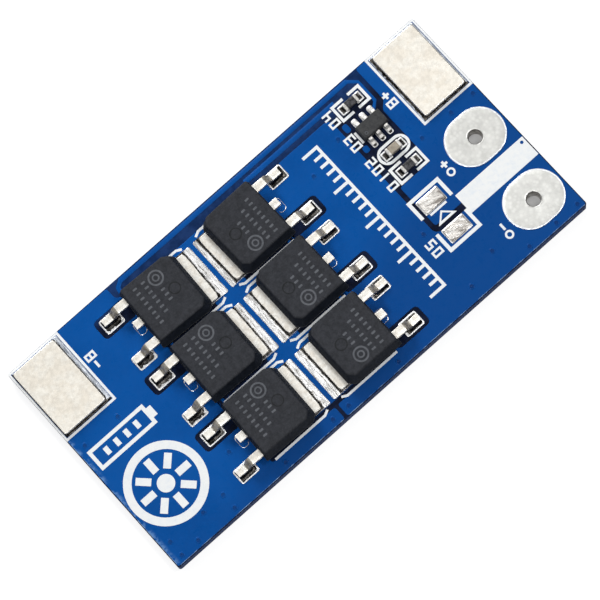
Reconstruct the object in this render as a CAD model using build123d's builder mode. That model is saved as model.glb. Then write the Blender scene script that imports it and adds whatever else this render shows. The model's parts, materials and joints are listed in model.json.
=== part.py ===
from build123d import *
import math
import os

os.makedirs("parts", exist_ok=True)

# A protection board for one lithium cell, lying flat with its component side up.
# Lengths are in millimetres. X runs along the board from the battery negative end to the
# pack output end, Y across it towards the edge with both battery plates, and Z up.
# The origin is the middle of the board's underside.

# Board
board_length = 50.0
board_width = 24.0
board_thickness = 1.6
board_corner_radius = 0.25

# Nickel battery plates, each soldered flat on a tinned land at a corner of the board
plate_width = 4.9
plate_length = 7.5
plate_thickness = 0.5
plate_corner_radius = 0.3
plate_edge_inset = 0.45
positive_plate_end_inset = 0.53
negative_plate_end_inset = 0.35
plate_land_width = 5.5
plate_land_length = 7.9
plate_land_end_inset = 0.25
plate_land_edge_inset = 0.27
plate_solder_thickness = 0.1

# Pack output pads: an oblong tinned pad round a plated hole
pack_pad_length = 6.12
pack_pad_width = 5.1
pack_pad_thickness = 0.09
pack_pad_end_inset = 0.26
pack_pad_edge_radius = 0.06
pack_hole_diameter = 1.35
pack_barrel_wall = 0.16
pack_ring_width = 0.55
pack_ring_depth = 0.05
# The room between the positive battery land and the far edge, left over by the two
# pads, goes above them, between them and below them.
pack_room_above_share = 0.2956
pack_room_between_share = 0.5137

# Power transistors: three rows of two, tab to tab across a seam, leads outwards
block_room_before_share = 0.3271
seam_gap = 0.45
row_gap_share = 0.1184
row_count = 3
row_shift_share = 0.0048
body_length = 6.1
body_width = 6.55
body_height = 2.3
body_parting_height = 1.2
body_corner_cut = 0.55
body_tab_side_inset = 0.42
body_lead_side_inset = 0.2
body_flank_inset = 0.34
body_bottom_inset = 0.16
tab_length = 0.87
tab_width = 5.3
tab_thickness = 0.5
tab_corner_radius = 0.2
paddle_end = 1.5
paddle_rise_run = 0.8
lead_pitch = 2.286
lead_thickness = 0.5
lead_exit_height = 0.95
lead_root = 1.75
lead_shoulder_width = 0.82
lead_foot_width = 0.7
lead_shoulder_reach = 1.15
lead_slope_run = 0.5
lead_reach = 2.85
lead_bend_radius = 0.2
stub_reach = 0.78
die_length = 3.0
die_width = 3.2
die_thickness = 0.25
die_setback = 0.5
solder_thickness = 0.06
tab_land_overhang = 0.83
tab_land_length = 6.0
tab_land_width = 5.65
lead_land_toe = 0.28
lead_land_length = 2.15
lead_land_width = 1.6
stub_land_length = 1.12
# How each transistor came to rest on its molten solder: a drift along X and Y, as shares
# of a lead's foot width, and a turn in degrees.
transistor_drift_shares = (
    (-0.26, 0.10),
    (-0.10, 0.11),
    (0.09, 0.10),
    (0.0, 0.26),
    (0.16, 0.0),
    (0.0, 0.11),
)
transistor_turns = (1.2, -2.1, 0.2, -1.2, 0.0, -1.2)

# Control column, measured from the pack output end
column_end_inset = 9.65
controller_place_share = 0.283
controller_length = 2.9
controller_width = 1.6
controller_height = 1.1
controller_parting_height = 0.5
controller_draft_inset = 0.09
controller_standoff = 0.08
controller_lead_pitch = 0.95
controller_lead_width = 0.4
controller_lead_thickness = 0.15
controller_lead_exit_height = 0.5
controller_lead_root = 0.25
controller_lead_shoulder = 0.12
controller_lead_slope_run = 0.13
controller_lead_reach = 0.62
controller_land_length = 1.1
controller_land_width = 0.6
controller_land_toe = 0.3
control_solder_thickness = 0.05

# Chip parts: two resistors and one capacitor on like lands
chip_length = 1.6
chip_width = 0.8
chip_cap_length = 0.3
chip_cap_skin = 0.02
resistor_height = 0.45
capacitor_height = 0.8
chip_land_length = 0.88
chip_land_width = 1.0
chip_land_toe = 0.53
chip_solder_climb_share = 0.6
chip_place_shares = {"resistor_1": 0.072, "resistor_2": 0.408, "capacitor_1": 0.159}

# Empty diode lands, tinned but not fitted
diode_land_length = 2.6
diode_land_width = 1.65
diode_land_thickness = 0.14
diode_land_shift = 0.7
diode_land_bevel = 0.05
diode_land_place_shares = (-0.089, -0.236)

# Printed legend
legend_thickness = 0.02
legend_line = 0.24
legend_clearance = 0.03
legend_edge_clearance = 0.03
outline_front_share = 0.4
outline_back_reach = 0.55
outline_cut_reach = 1.07
outline_cut_drop = 0.27
outline_flank_gap = 0.03
chip_frame_length = 3.48
chip_frame_width = 1.92
chip_frame_line = 0.28
chip_frame_gap = 0.6
pin_mark_length = 1.3
pin_mark_width = 0.24
pin_mark_reach = 1.62
diode_bracket_length = 3.9
diode_bracket_depth = 2.15
diode_bracket_line = 0.36
diode_bracket_margin = 0.5
diode_sign_width = 2.2
diode_sign_height = 1.05
diode_bar_length = 1.95
diode_bar_gap = 0.28
output_bar_length = 8.3
output_bar_margin = 0.325
output_bar_end_inset = 0.12
output_bar_hole_diameter = 0.34
output_bar_hole_inset = 0.4
sign_size = 0.72
sign_line = 0.24
cell_sign_length = 1.1
cell_sign_width = 0.74
cell_sign_line = 0.2
ring_sign_diameter = 0.86
sign_spacing = 0.95
battery_sign_gap = 0.82
pack_sign_gap = 0.8
battery_sign_drop_share = 0.02
number_height = 1.1
number_width = 0.68
number_line = 0.2
number_spacing = 0.95
number_gap = 0.65
scale_place_share = 0.4322
scale_length = 17.6
scale_pitch = 0.88
scale_long_tick = 1.75
scale_short_tick = 1.05
scale_line = 0.3
scale_long_every = 5
cell_bar_inset = 0.7
cell_bar_length = 6.7
cell_bar_width = 2.25
cell_bar_line = 0.36
cell_bar_nub_length = 0.5
cell_bar_nub_width = 1.1
cell_bar_count = 4
cell_bar_place_share = 0.02
dial_inset = 4.25
dial_diameter = 7.9
dial_line = 0.8
dial_tick_length = 1.45
dial_tick_width = 0.72
dial_tick_gap = 0.35
dial_hub_diameter = 1.7
dial_tick_count = 8
dial_place_share = -0.225

# Places worked out from the sizes above
board_end = board_length / 2
board_edge = board_width / 2
board_top = board_thickness
seat = board_top + solder_thickness
row_gap = row_gap_share * (board_width - row_count * body_width)
row_pitch = body_width + row_gap
row_shift = row_shift_share * board_width
transistor_offset = seam_gap / 2 + tab_land_overhang + tab_length + body_length / 2
lead_start = body_length / 2
lead_tip = lead_start + lead_reach
tab_end = body_length / 2 + tab_length
column_x = board_end - column_end_inset
control_seat = board_top + control_solder_thickness
pack_pad_x = board_end - pack_pad_end_inset - pack_pad_length / 2
plate_land_x = board_end - plate_land_end_inset - plate_land_width / 2
plate_land_y = board_edge - plate_land_edge_inset - plate_land_length / 2
plate_y = board_edge - plate_edge_inset - plate_length / 2
plate_x = {
    "positive": board_end - positive_plate_end_inset - plate_width / 2,
    "negative": -board_end + negative_plate_end_inset + plate_width / 2,
}
side_signs = {"positive": 1, "negative": -1}
plate_land_inner_y = plate_land_y - plate_land_length / 2
pack_room = plate_land_inner_y + board_edge - 2 * pack_pad_width
pack_pad_top_y = plate_land_inner_y - pack_room_above_share * pack_room
pack_pad_y = {"positive": pack_pad_top_y - pack_pad_width / 2}
pack_pad_y["negative"] = (
    pack_pad_y["positive"] - pack_pad_width - pack_room_between_share * pack_room
)
diode_x = column_x - diode_land_shift
block_half_span = transistor_offset + lead_tip + lead_land_toe
block_room_start = plate_land_width / 2 - plate_land_x
block_room_end = column_x - chip_length / 2 - chip_land_toe
block_room = block_room_end - block_room_start - 2 * block_half_span
seam_x = block_room_start + block_room_before_share * block_room + block_half_span
diode_land_ys = [share * board_width for share in diode_land_place_shares]

# Every soldered land, as middle x, middle y, length along X and width along Y. The
# legend is kept clear of them.
lands = []


def outline_with_cut_corners(plane, back, front, side, cut):
    """A flat outline from back to front, with the two corners at its back cut off."""
    with BuildSketch(plane) as outline:
        with BuildLine():
            Polyline(
                (back + cut, -side),
                (front, -side),
                (front, side),
                (back + cut, side),
                (back, side - cut),
                (back, cut - side),
                close=True,
            )
        make_face()
    return outline.sketch


# Circuit board with a hole for each pack output barrel
with BuildPart() as circuit_board:
    with BuildSketch():
        RectangleRounded(board_length, board_width, board_corner_radius)
    extrude(amount=board_thickness)
    for name in ("positive", "negative"):
        with Locations((pack_pad_x, pack_pad_y[name], 0)):
            Cylinder(
                pack_hole_diameter / 2 + pack_barrel_wall,
                board_thickness,
                align=(Align.CENTER, Align.CENTER, Align.MIN),
                mode=Mode.SUBTRACT,
            )
            Cylinder(
                pack_hole_diameter / 2 + pack_ring_width,
                pack_ring_depth,
                align=(Align.CENTER, Align.CENTER, Align.MIN),
                mode=Mode.SUBTRACT,
            )
circuit_board.part.label = "circuit_board"
export_step(circuit_board.part, "parts/circuit_board.step")

# Pack output pads: the tinned pad on top, the barrel through the board and a ring below
for name in ("positive", "negative"):
    middle = (pack_pad_x, pack_pad_y[name])
    with BuildPart() as pack_pad:
        with BuildSketch(Plane.XY.offset(board_top)):
            with Locations(middle):
                SlotOverall(pack_pad_length, pack_pad_width)
        extrude(amount=pack_pad_thickness)
        fillet(pack_pad.edges().group_by(Axis.Z)[-1], pack_pad_edge_radius)
        with BuildSketch():
            with Locations(middle):
                Circle(pack_hole_diameter / 2 + pack_barrel_wall)
        extrude(amount=board_top)
        with BuildSketch():
            with Locations(middle):
                Circle(pack_hole_diameter / 2 + pack_ring_width)
        extrude(amount=pack_ring_depth)
        with Locations((pack_pad_x, pack_pad_y[name], board_top + pack_pad_thickness)):
            Hole(pack_hole_diameter / 2)
    pack_pad.part.label = f"pack_{name}_pad"
    export_step(pack_pad.part, f"parts/pack_{name}_pad.step")

# Battery plates and the solder that holds each one to its land
for name in ("positive", "negative"):
    land_x = side_signs[name] * plate_land_x
    lands.append((land_x, plate_land_y, plate_land_width, plate_land_length))
    with BuildPart() as plate_solder:
        with BuildSketch(Plane.XY.offset(board_top)):
            with Locations((land_x, plate_land_y)):
                Rectangle(plate_land_width, plate_land_length)
        extrude(amount=plate_solder_thickness)
    plate_solder.part.label = f"battery_{name}_solder"
    export_step(plate_solder.part, f"parts/battery_{name}_solder.step")
    with BuildPart() as plate:
        with BuildSketch(Plane.XY.offset(board_top + plate_solder_thickness)):
            with Locations((plate_x[name], plate_y)):
                RectangleRounded(plate_width, plate_length, plate_corner_radius)
        extrude(amount=plate_thickness)
    plate.part.label = f"battery_{name}_plate"
    export_step(plate.part, f"parts/battery_{name}_plate.step")


def side_view_plane(base, offset):
    """The upright plane along a transistor, at an offset across it."""
    return Plane(origin=base.origin, x_dir=base.x_dir, z_dir=-base.y_dir).offset(-offset)


def transistor_lead(base, offset):
    """One outer lead: its root in the body, a raised shoulder, a slope and a flat foot."""
    shoulder_end = lead_start + lead_shoulder_reach
    foot_start = shoulder_end + lead_slope_run
    raised = lead_exit_height
    with BuildPart() as lead:
        with BuildSketch(side_view_plane(base, offset)) as side_view:
            with BuildLine():
                Polyline(
                    (lead_root, raised),
                    (shoulder_end, raised),
                    (foot_start, 0),
                    (lead_tip, 0),
                    (lead_tip, lead_thickness),
                    (foot_start + lead_bend_radius, lead_thickness),
                    (shoulder_end + lead_bend_radius, raised + lead_thickness),
                    (lead_root, raised + lead_thickness),
                    close=True,
                )
            make_face()
            bends = [
                corner
                for corner in side_view.vertices()
                if shoulder_end - lead_bend_radius < corner.X < foot_start + 2 * lead_bend_radius
            ]
            fillet(bends, lead_bend_radius)
        extrude(amount=lead_shoulder_width / 2, both=True)
        with BuildSketch(base):
            with BuildLine():
                Polyline(
                    (lead_root, offset - lead_shoulder_width / 2),
                    (shoulder_end, offset - lead_shoulder_width / 2),
                    (foot_start, offset - lead_foot_width / 2),
                    (lead_tip, offset - lead_foot_width / 2),
                    (lead_tip, offset + lead_foot_width / 2),
                    (foot_start, offset + lead_foot_width / 2),
                    (shoulder_end, offset + lead_shoulder_width / 2),
                    (lead_root, offset + lead_shoulder_width / 2),
                    close=True,
                )
            make_face()
        extrude(amount=body_height, mode=Mode.INTERSECT)
    return lead


def transistor_frame(base):
    """The drain tab, the paddle under the die and the middle lead, cut short outside."""
    rise_end = paddle_end + paddle_rise_run
    raised = lead_exit_height
    with BuildPart() as frame:
        with BuildSketch(base):
            with BuildLine():
                Polyline(
                    (-tab_end, -tab_width / 2),
                    (paddle_end, -tab_width / 2),
                    (paddle_end, tab_width / 2),
                    (-tab_end, tab_width / 2),
                    close=True,
                )
            make_face()
        extrude(amount=tab_thickness)
        outer_corners = frame.edges().filter_by(Axis.Z).sort_by_distance(base.origin)[-2:]
        fillet(outer_corners, tab_corner_radius)
        with BuildSketch(side_view_plane(base, 0)):
            with BuildLine():
                Polyline(
                    (paddle_end - lead_thickness, 0),
                    (paddle_end, 0),
                    (rise_end, raised),
                    (lead_start + stub_reach, raised),
                    (lead_start + stub_reach, raised + lead_thickness),
                    (rise_end - lead_bend_radius, raised + lead_thickness),
                    (paddle_end - lead_thickness, tab_thickness),
                    close=True,
                )
            make_face()
        extrude(amount=lead_shoulder_width / 2, both=True)
    return frame


def transistor_body(base, inner_pieces):
    """The moulded body, drafted both ways from its parting line, round its inner pieces."""
    half_length = body_length / 2
    half_width = body_width / 2
    cut = body_corner_cut
    back = -half_length
    with BuildPart() as body:
        add(
            outline_with_cut_corners(
                base,
                back + body_bottom_inset,
                half_length - body_bottom_inset,
                half_width - body_bottom_inset,
                cut,
            )
        )
        add(
            outline_with_cut_corners(
                base.offset(body_parting_height), back, half_length, half_width, cut
            )
        )
        add(
            outline_with_cut_corners(
                base.offset(body_height),
                back + body_tab_side_inset,
                half_length - body_lead_side_inset,
                half_width - body_flank_inset,
                cut,
            )
        )
        loft(ruled=True)
        for inner_piece in inner_pieces:
            add(inner_piece.part, mode=Mode.SUBTRACT)
    return body


# Power transistors, numbered from the plates' edge, the right one of each row first
transistor_number = 0
for row in range(row_count):
    row_y = ((row_count - 1) / 2 - row) * row_pitch - row_shift
    for side in (1, -1):
        drift_x_share, drift_y_share = transistor_drift_shares[transistor_number]
        turn = math.radians(transistor_turns[transistor_number] + (0 if side > 0 else 180))
        transistor_number += 1
        name = f"transistor_{transistor_number}"
        middle_x = seam_x + side * transistor_offset
        base = Plane(
            origin=(
                middle_x + drift_x_share * lead_foot_width,
                row_y + drift_y_share * lead_foot_width,
                seat,
            ),
            x_dir=(math.cos(turn), math.sin(turn), 0),
            z_dir=(0, 0, 1),
        )

        frame = transistor_frame(base)
        frame.part.label = f"{name}_drain_frame"
        export_step(frame.part, f"parts/{name}_drain_frame.step")

        gate_lead = transistor_lead(base, -lead_pitch)
        gate_lead.part.label = f"{name}_gate_lead"
        export_step(gate_lead.part, f"parts/{name}_gate_lead.step")

        source_lead = transistor_lead(base, lead_pitch)
        source_lead.part.label = f"{name}_source_lead"
        export_step(source_lead.part, f"parts/{name}_source_lead.step")

        with BuildPart() as die:
            with BuildSketch(base.offset(tab_thickness)):
                with Locations((-die_setback, 0)):
                    Rectangle(die_length, die_width)
            extrude(amount=die_thickness)
        die.part.label = f"{name}_die"
        export_step(die.part, f"parts/{name}_die.step")

        body = transistor_body(base, (frame, gate_lead, source_lead, die))
        body.part.label = f"{name}_body"
        export_step(body.part, f"parts/{name}_body.step")

        tab_land_middle = tab_end + tab_land_overhang - tab_land_length / 2
        lead_land_middle = lead_tip + lead_land_toe - lead_land_length / 2
        stub_land_middle = lead_start + stub_reach + lead_land_toe - stub_land_length / 2
        own_lands = [
            (-tab_land_middle, 0, tab_land_length, tab_land_width),
            (stub_land_middle, 0, stub_land_length, lead_land_width),
            (lead_land_middle, lead_pitch, lead_land_length, lead_land_width),
            (lead_land_middle, -lead_pitch, lead_land_length, lead_land_width),
        ]
        with BuildPart() as solder:
            with BuildSketch(Plane.XY.offset(board_top)):
                for along, across, length, width in own_lands:
                    land_x = middle_x + side * along
                    lands.append((land_x, row_y + across, length, width))
                    with Locations((land_x, row_y + across)):
                        Rectangle(length, width)
            extrude(amount=solder_thickness)
        solder.part.label = f"{name}_solder"
        export_step(solder.part, f"parts/{name}_solder.step")

# Controller: six small leads, the solder under their feet and the moulded body
controller_y = controller_place_share * board_width
controller_base = Plane(origin=(column_x, controller_y, control_seat))
controller_lead_start = controller_width / 2
controller_lead_tip = controller_lead_start + controller_lead_reach
controller_columns = [step * controller_lead_pitch for step in (-1, 0, 1)]

with BuildPart() as controller_leads:
    for side in (1, -1):
        for offset in controller_columns:
            shoulder_end = controller_lead_start + controller_lead_shoulder
            foot_start = shoulder_end + controller_lead_slope_run
            raised = controller_lead_exit_height
            thick = controller_lead_thickness
            with BuildSketch(
                Plane(
                    origin=(column_x + offset, controller_y, control_seat),
                    x_dir=(0, side, 0),
                    z_dir=(side, 0, 0),
                )
            ):
                with BuildLine():
                    Polyline(
                        (controller_lead_start - controller_lead_root, raised),
                        (shoulder_end, raised),
                        (foot_start, 0),
                        (controller_lead_tip, 0),
                        (controller_lead_tip, thick),
                        (foot_start + thick, thick),
                        (shoulder_end + thick, raised + thick),
                        (controller_lead_start - controller_lead_root, raised + thick),
                        close=True,
                    )
                make_face()
            extrude(amount=controller_lead_width / 2, both=True)
controller_leads.part.label = "controller_leads"
export_step(controller_leads.part, "parts/controller_leads.step")

with BuildPart() as controller_body:
    for height, inset in (
        (controller_standoff, controller_draft_inset),
        (controller_parting_height, 0),
        (controller_height, controller_draft_inset),
    ):
        with BuildSketch(controller_base.offset(height)):
            Rectangle(controller_length - 2 * inset, controller_width - 2 * inset)
    loft(ruled=True)
    add(controller_leads.part, mode=Mode.SUBTRACT)
controller_body.part.label = "controller_body"
export_step(controller_body.part, "parts/controller_body.step")

with BuildPart() as controller_solder:
    with BuildSketch(Plane.XY.offset(board_top)):
        for side in (1, -1):
            for offset in controller_columns:
                land_x = column_x + offset
                land_y = controller_y + side * (
                    controller_lead_tip + controller_land_toe - controller_land_length / 2
                )
                lands.append((land_x, land_y, controller_land_width, controller_land_length))
                with Locations((land_x, land_y)):
                    Rectangle(controller_land_width, controller_land_length)
    extrude(amount=control_solder_thickness)
controller_solder.part.label = "controller_solder"
export_step(controller_solder.part, "parts/controller_solder.step")


def chip_part(name, height):
    """A chip part across X: its body, its two end caps and the solder at each cap."""
    chip_y = chip_place_shares[name] * board_width
    base = Plane(origin=(column_x, chip_y, control_seat))
    cap_middle = (chip_length - chip_cap_length) / 2
    with BuildPart() as chip_body:
        with BuildSketch(base.offset(chip_cap_skin)):
            Rectangle(chip_length - 2 * chip_cap_length, chip_width - 2 * chip_cap_skin)
        extrude(amount=height - 2 * chip_cap_skin)
    chip_body.part.label = f"{name}_body"
    export_step(chip_body.part, f"parts/{name}_body.step")

    with BuildPart() as chip_caps:
        with BuildSketch(base):
            with Locations((cap_middle, 0), (-cap_middle, 0)):
                Rectangle(chip_cap_length, chip_width)
        extrude(amount=height)
    chip_caps.part.label = f"{name}_end_caps"
    export_step(chip_caps.part, f"parts/{name}_end_caps.step")

    land_outer = chip_length / 2 + chip_land_toe
    land_inner = land_outer - chip_land_length
    climb = control_solder_thickness + chip_solder_climb_share * height
    with BuildPart() as chip_solder:
        for side in (1, -1):
            land_x = column_x + side * (land_outer + land_inner) / 2
            lands.append((land_x, chip_y, chip_land_length, chip_land_width))
            with BuildSketch(
                Plane(
                    origin=(column_x, chip_y, board_top),
                    x_dir=(side, 0, 0),
                    z_dir=(0, -side, 0),
                )
            ):
                with BuildLine():
                    Polyline(
                        (land_inner, 0),
                        (land_outer, 0),
                        (land_outer, control_solder_thickness),
                        (chip_length / 2, climb),
                        (chip_length / 2, control_solder_thickness),
                        (land_inner, control_solder_thickness),
                        close=True,
                    )
                make_face()
            extrude(amount=chip_land_width / 2, both=True)
    chip_solder.part.label = f"{name}_solder"
    export_step(chip_solder.part, f"parts/{name}_solder.step")


chip_part("resistor_1", resistor_height)
chip_part("resistor_2", resistor_height)
chip_part("capacitor_1", capacitor_height)

# Empty diode lands with a thick coat of tin
with BuildPart() as diode_lands:
    with BuildSketch(Plane.XY.offset(board_top)):
        for land_y in diode_land_ys:
            lands.append((diode_x, land_y, diode_land_length, diode_land_width))
            with Locations((diode_x, land_y)):
                Rectangle(diode_land_length, diode_land_width)
    extrude(amount=diode_land_thickness)
    chamfer(diode_lands.edges().group_by(Axis.Z)[-1], diode_land_bevel)
diode_lands.part.label = "diode_lands"
export_step(diode_lands.part, "parts/diode_lands.step")


def framed(middle, length, width, line):
    """A rectangle drawn as a line of even width, given by its outer size."""
    with BuildSketch() as drawn:
        with Locations(middle):
            Rectangle(length, width)
            Rectangle(length - 2 * line, width - 2 * line, mode=Mode.SUBTRACT)
    return drawn.sketch


def bracket(middle_x, outer_y, edge, length, depth, line):
    """The outer half of a frame: a long side at outer_y, and two short ones behind it."""
    with BuildSketch() as drawn:
        with Locations((middle_x, outer_y - edge * depth / 2)):
            Rectangle(length, depth)
        with Locations((middle_x, outer_y - edge * (line + depth / 2))):
            Rectangle(length - 2 * line, depth, mode=Mode.SUBTRACT)
    return drawn.sketch


def number_sign(middle, lit):
    """A numeral turned to read up the board, built from the lit ones of seven bars."""
    half_height = (number_height - number_line) / 2
    half_width = (number_width - number_line) / 2
    with BuildSketch() as drawn:
        with Locations(middle):
            for bar in lit:
                level, shift = seven_bar_shares[bar]
                if shift == 0:
                    with Locations((-level * half_height, 0)):
                        Rectangle(number_line, number_width)
                else:
                    with Locations((-level * half_height / 2, shift * half_width)):
                        Rectangle(half_height + number_line, number_line)
    return drawn.sketch


def transistor_outline(middle_x, row_y, side):
    """The two long lines of one transistor's outline, turned in beside its tab."""
    flank = body_width / 2 + outline_flank_gap
    front = outline_front_share * body_length
    with BuildSketch() as drawn:
        for edge in (1, -1):
            with BuildLine():
                Polyline(
                    (middle_x + side * front, row_y + edge * flank),
                    (middle_x - side * (body_length / 2 + outline_back_reach), row_y + edge * flank),
                    (
                        middle_x - side * (body_length / 2 + outline_cut_reach),
                        row_y + edge * (flank - outline_cut_drop),
                    ),
                )
            trace(line_width=legend_line)
    return drawn.sketch


# Seven bars of a numeral, as a level from -1 at its foot to 1 at its head, and a side
seven_bar_shares = {
    "head": (1, 0),
    "middle": (0, 0),
    "foot": (-1, 0),
    "upper_left": (1, -1),
    "upper_right": (1, 1),
    "lower_left": (-1, -1),
    "lower_right": (-1, 1),
}
numeral_bars = {
    0: ("head", "foot", "upper_left", "upper_right", "lower_left", "lower_right"),
    1: ("upper_right", "lower_right"),
    2: ("head", "upper_right", "middle", "lower_left", "foot"),
    3: ("head", "upper_right", "middle", "lower_right", "foot"),
    4: ("upper_left", "upper_right", "middle", "lower_right"),
    5: ("head", "upper_left", "middle", "lower_right", "foot"),
}

# Printed legend: a thin coat of white ink in fields and lines
with BuildPart() as legend_print:
    with BuildSketch(Plane.XY.offset(board_top)):
        # A frame round each battery land
        for side in (1, -1):
            add(
                framed(
                    (side * plate_land_x, plate_land_y),
                    plate_land_width + 2 * (legend_clearance + legend_line),
                    plate_land_length + 2 * (legend_clearance + legend_line),
                    legend_line,
                )
            )
        # The outline of each transistor
        for row in range(row_count):
            row_y = ((row_count - 1) / 2 - row) * row_pitch - row_shift
            for side in (1, -1):
                add(transistor_outline(seam_x + side * transistor_offset, row_y, side))
        # Broken frames round the resistors and a rounded one round the capacitor
        for name in ("resistor_1", "resistor_2"):
            chip_y = chip_place_shares[name] * board_width
            add(framed((column_x, chip_y), chip_frame_length, chip_frame_width, chip_frame_line))
            with Locations((column_x, chip_y)):
                Rectangle(chip_frame_gap, chip_frame_width, mode=Mode.SUBTRACT)
        with Locations((column_x, chip_place_shares["capacitor_1"] * board_width)):
            SlotOverall(chip_frame_length, chip_frame_width)
            SlotOverall(
                chip_frame_length - 2 * chip_frame_line,
                chip_frame_width - 2 * chip_frame_line,
                mode=Mode.SUBTRACT,
            )
        # The mark at the controller's first pin
        with Locations((column_x - pin_mark_reach, controller_y)):
            Rectangle(pin_mark_width, pin_mark_length)
        # Brackets round the diode lands, and the diode's sign between them
        for land_y, edge in zip(diode_land_ys, (1, -1)):
            outer_y = land_y + edge * (diode_land_width / 2 + diode_bracket_margin)
            add(
                bracket(
                    diode_x,
                    outer_y,
                    edge,
                    diode_bracket_length,
                    diode_bracket_depth,
                    diode_bracket_line,
                )
            )
        sign_y = sum(diode_land_ys) / 2
        sign_top = sign_y + diode_sign_height / 2
        sign_foot = sign_y - diode_sign_height / 2
        with BuildLine():
            Polyline(
                (diode_x - diode_sign_width / 2, sign_foot),
                (diode_x + diode_sign_width / 2, sign_foot),
                (diode_x, sign_top),
                close=True,
            )
        make_face()
        with BuildLine():
            Polyline(
                (diode_x - diode_sign_width / 2 + 2 * legend_line, sign_foot + legend_line),
                (diode_x + diode_sign_width / 2 - 2 * legend_line, sign_foot + legend_line),
                (diode_x, sign_top - legend_line),
                close=True,
            )
        make_face(mode=Mode.SUBTRACT)
        with Locations((diode_x, sign_top + diode_bar_gap)):
            Rectangle(diode_bar_length, legend_line)
        # The white field between the two pack outputs
        output_gap = pack_pad_y["positive"] - pack_pad_y["negative"] - pack_pad_width
        output_bar_x = board_end - output_bar_end_inset - output_bar_length / 2
        output_bar_y = (pack_pad_y["positive"] + pack_pad_y["negative"]) / 2
        output_bar_width = output_gap - 2 * output_bar_margin
        with Locations((output_bar_x, output_bar_y)):
            Rectangle(output_bar_length, output_bar_width)
            with Locations(
                (
                    output_bar_length / 2 - output_bar_hole_inset,
                    output_bar_width / 2 - output_bar_hole_inset,
                )
            ):
                Circle(output_bar_hole_diameter / 2, mode=Mode.SUBTRACT)
        # Polarity signs, with a cell sign at each plate and a ring sign at each output
        battery_sign_y = plate_y - battery_sign_drop_share * plate_length
        for name, side in side_signs.items():
            land_side_x = plate_land_x - plate_land_width / 2
            battery_sign_x = side * (land_side_x - battery_sign_gap - legend_line)
            signs = (
                (battery_sign_x, battery_sign_y + side * sign_spacing / 2),
                (pack_pad_x - pack_pad_length / 2 - pack_sign_gap, pack_pad_y[name]),
            )
            with Locations(*signs):
                Rectangle(sign_line, sign_size)
                if side > 0:
                    Rectangle(sign_size, sign_line)
            add(
                framed(
                    (battery_sign_x, battery_sign_y - side * sign_spacing / 2),
                    cell_sign_length,
                    cell_sign_width,
                    cell_sign_line,
                )
            )
            with Locations((battery_sign_x, battery_sign_y - side * sign_spacing / 2)):
                Rectangle(cell_sign_line, cell_sign_width)
            pack_sign_x, pack_sign_y = signs[1]
            with Locations((pack_sign_x, pack_sign_y - sign_spacing)):
                Circle(ring_sign_diameter / 2)
                Circle(ring_sign_diameter / 2 - cell_sign_line, mode=Mode.SUBTRACT)
        # Position numbers beside the small parts
        number_x = column_x - chip_frame_length / 2 - number_gap
        numbered_places = (
            chip_place_shares["resistor_1"] * board_width,
            chip_place_shares["capacitor_1"] * board_width,
            controller_y,
            chip_place_shares["resistor_2"] * board_width,
        )
        for number, place_y in enumerate(numbered_places, start=1):
            add(number_sign((number_x, place_y - number_spacing / 2), numeral_bars[0]))
            add(number_sign((number_x, place_y + number_spacing / 2), numeral_bars[number]))
        diode_number_x = diode_x - diode_bracket_length / 2 - number_gap - number_line
        add(number_sign((diode_number_x, diode_land_ys[1] - number_spacing / 2), numeral_bars[0]))
        add(number_sign((diode_number_x, diode_land_ys[1] + number_spacing / 2), numeral_bars[5]))
        # A plain length scale between the transistors and the small parts
        scale_ticks = round(scale_length / scale_pitch) + 1
        block_end = seam_x + block_half_span
        scale_x = block_end + scale_place_share * (number_x - block_end)
        for tick in range(scale_ticks):
            tick_length = scale_long_tick if tick % scale_long_every == 0 else scale_short_tick
            tick_y = (tick - (scale_ticks - 1) / 2) * scale_pitch
            with Locations((scale_x + (scale_long_tick - tick_length) / 2, tick_y)):
                Rectangle(tick_length, scale_line)
        with Locations((scale_x + scale_long_tick / 2, 0)):
            Rectangle(scale_line, (scale_ticks - 1) * scale_pitch + scale_line)
        # A cell sign with four bars near the battery negative end
        cell_bar_x = -board_end + cell_bar_inset + cell_bar_length / 2
        cell_bar_y = cell_bar_place_share * board_width
        add(framed((cell_bar_x, cell_bar_y), cell_bar_length, cell_bar_width, cell_bar_line))
        with Locations((cell_bar_x + (cell_bar_length + cell_bar_nub_length) / 2, cell_bar_y)):
            Rectangle(cell_bar_nub_length, cell_bar_nub_width)
        bar_pitch = (cell_bar_length - 2 * cell_bar_line) / (cell_bar_count + 1)
        for bar in range(cell_bar_count):
            bar_x = cell_bar_x + (bar - (cell_bar_count - 1) / 2) * bar_pitch
            with Locations((bar_x, cell_bar_y)):
                Rectangle(bar_pitch - 2 * cell_bar_line, cell_bar_width - 4 * cell_bar_line)
        # A plain dial below it: a ring, short ticks and a hub
        with Locations((-board_end + dial_inset, dial_place_share * board_width)):
            Circle(dial_diameter / 2)
            Circle(dial_diameter / 2 - dial_line, mode=Mode.SUBTRACT)
            Circle(dial_hub_diameter / 2)
            tick_radius = dial_diameter / 2 - dial_line - dial_tick_gap - dial_tick_length / 2
            with PolarLocations(tick_radius, dial_tick_count):
                Rectangle(dial_tick_length, dial_tick_width)
        # The ink stays off every land and pad, and inside the board's edge
        for land_x, land_y, length, width in lands:
            with Locations((land_x, land_y)):
                Rectangle(
                    length + 2 * legend_clearance, width + 2 * legend_clearance, mode=Mode.SUBTRACT
                )
        for pad_y in pack_pad_y.values():
            with Locations((pack_pad_x, pad_y)):
                SlotOverall(
                    pack_pad_length + 2 * legend_clearance,
                    pack_pad_width + 2 * legend_clearance,
                    mode=Mode.SUBTRACT,
                )
        Rectangle(
            board_length - 2 * legend_edge_clearance,
            board_width - 2 * legend_edge_clearance,
            mode=Mode.INTERSECT,
        )
    extrude(amount=legend_thickness)
legend_print.part.label = "legend_print"
export_step(legend_print.part, "parts/legend_print.step")
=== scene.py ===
import json
import math

import bmesh
import bpy
from mathutils import Matrix, Vector, noise


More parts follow.
